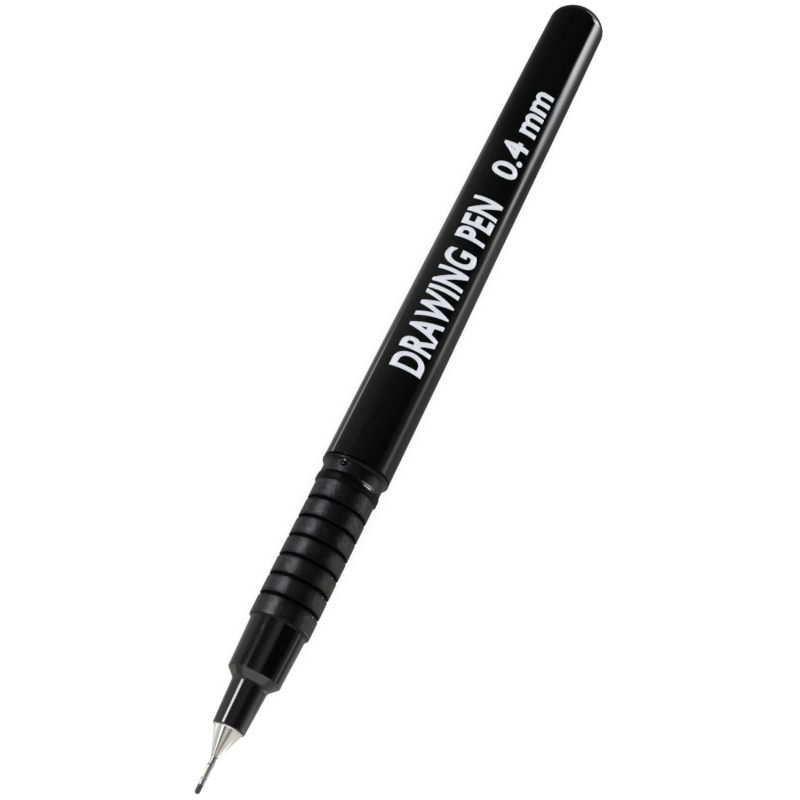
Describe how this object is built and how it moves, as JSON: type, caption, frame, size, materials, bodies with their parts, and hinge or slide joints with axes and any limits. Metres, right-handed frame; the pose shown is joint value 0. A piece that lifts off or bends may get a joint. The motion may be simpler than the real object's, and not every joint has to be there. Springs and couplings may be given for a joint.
{
  "type": "technical pen",
  "caption": "Uncapped fibre-tip drawing pen: tapered domed barrel, ribbed matte grip, stepped glossy nose and a metal cone and tube round a fine nib.",
  "frame": {"origin": "the very tip of the writing nib, on the pen's axis", "axes": "+X along the pen's axis from the nib to the closed rear end, +Z out of the marked side of the barrel"},
  "size_m": [0.1375, 0.0102, 0.0102],
  "materials": {
    "barrel_plastic": "black, moulded, high gloss",
    "ink_fibre": "fibre bundle soaked with black ink",
    "film_wrap": "thin translucent film",
    "grip_plastic": "black, fine moulded grain",
    "nose_plastic": "black, moulded, gloss",
    "holder_plastic": "natural white plastic",
    "wick_fibre": "bonded fibre rod, inked",
    "tip_metal": "bright nickel-plated, turned",
    "tube_metal": "drawn stainless tube",
    "nib_plastic": "extruded plastic, inked",
    "marking_ink": "white pad-printed ink"
  },
  "bodies": {
    "barrel_unit": {"barrel": "barrel_plastic", "ink_reservoir": "ink_fibre", "reservoir_film": "film_wrap"},
    "front_unit": {"grip_section": "grip_plastic", "nose_piece": "nose_plastic", "nib_holder": "holder_plastic", "relay_wick": "wick_fibre", "tip_cone": "tip_metal", "tip_tube": "tube_metal", "writing_nib": "nib_plastic"}
  },
  "joints": [
    {"name": "section_pull", "type": "slide", "parent": "barrel_unit", "child": "front_unit", "axis": [-1, 0, 0], "range_m": [0, 0.0135]}
  ]
}
